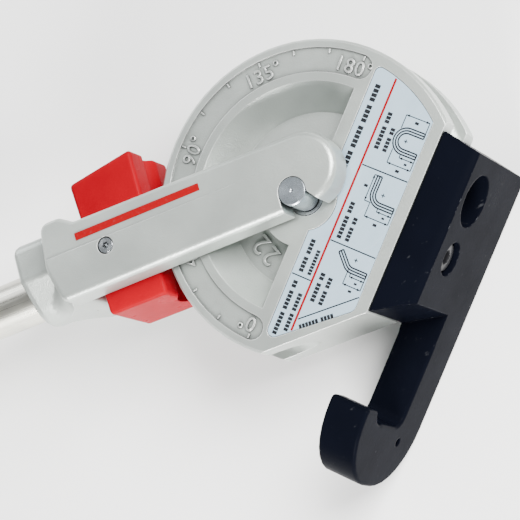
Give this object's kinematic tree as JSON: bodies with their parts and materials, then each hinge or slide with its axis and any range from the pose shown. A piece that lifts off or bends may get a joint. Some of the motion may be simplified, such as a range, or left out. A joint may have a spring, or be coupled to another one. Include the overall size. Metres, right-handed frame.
{
  "type": "manual tube bender",
  "caption": "Hand tube bender: round grooved former with a dial and a hook block, a forked lever on a pivot pin, and a swivelling pressure shoe.",
  "frame": {"origin": "on the pivot axis, at the rear end face of the pivot pin", "axes": "+X along the straight end of the tube, from the bend to the hook and out of the hook's socket; +Z along the pivot, out of the former's dial face; +Y from the hook's nose towards its block"},
  "size_m": [0.5518, 0.4918, 0.104],
  "materials": {
    "cast_aluminium": "blasted die casting, satin",
    "label_foil": "printed film",
    "black_steel": "black oxide and lacquer, satin",
    "dark_screw": "black oxide",
    "bright_steel": "turned and zinc plated",
    "bronze": "turned",
    "red_paint": "gloss red lacquer on cast aluminium",
    "plated_tube": "zinc plated tube",
    "black_rubber": "matt"
  },
  "bodies": {
    "former_assembly": {"former": "cast_aluminium", "label_plate": "label_foil", "hook_block": "black_steel", "hook_screw": "dark_screw", "thread_insert": "bright_steel", "hook_dowel_upper": "bright_steel", "hook_dowel_lower": "bright_steel", "pivot_bush_front": "bright_steel", "pivot_bush_rear": "bright_steel"},
    "pivot_pin": {"pivot_pin": "bright_steel"},
    "lever": {"lever_yoke": "cast_aluminium", "shoe_screw": "bright_steel", "shoe_sleeve": "bronze", "shoe_washer_front": "bright_steel", "shoe_washer_rear": "bright_steel", "shoe_nut": "bright_steel", "handle_tube": "plated_tube", "handle_grip": "black_rubber", "handle_end_cap": "black_rubber", "handle_lock_screw": "dark_screw"},
    "shoe": {"shoe": "red_paint"}
  },
  "joints": [
    {"name": "bend", "type": "hinge", "parent": "former_assembly", "child": "pivot_pin", "pos_m": [0, 0, 0.0435], "axis": [0, 0, -1], "range_deg": [-48.5, 131.5]},
    {"name": "unhook", "type": "slide", "parent": "pivot_pin", "child": "lever", "axis": [-0.6626, 0.749, 0], "range_m": [0, 0.02]},
    {"name": "shoe_swivel", "type": "hinge", "parent": "lever", "child": "shoe", "pos_m": [-0.0945, -0.06825, 0.0435], "axis": [0, 0, 1], "range_deg": [-5, 5]}
  ]
}
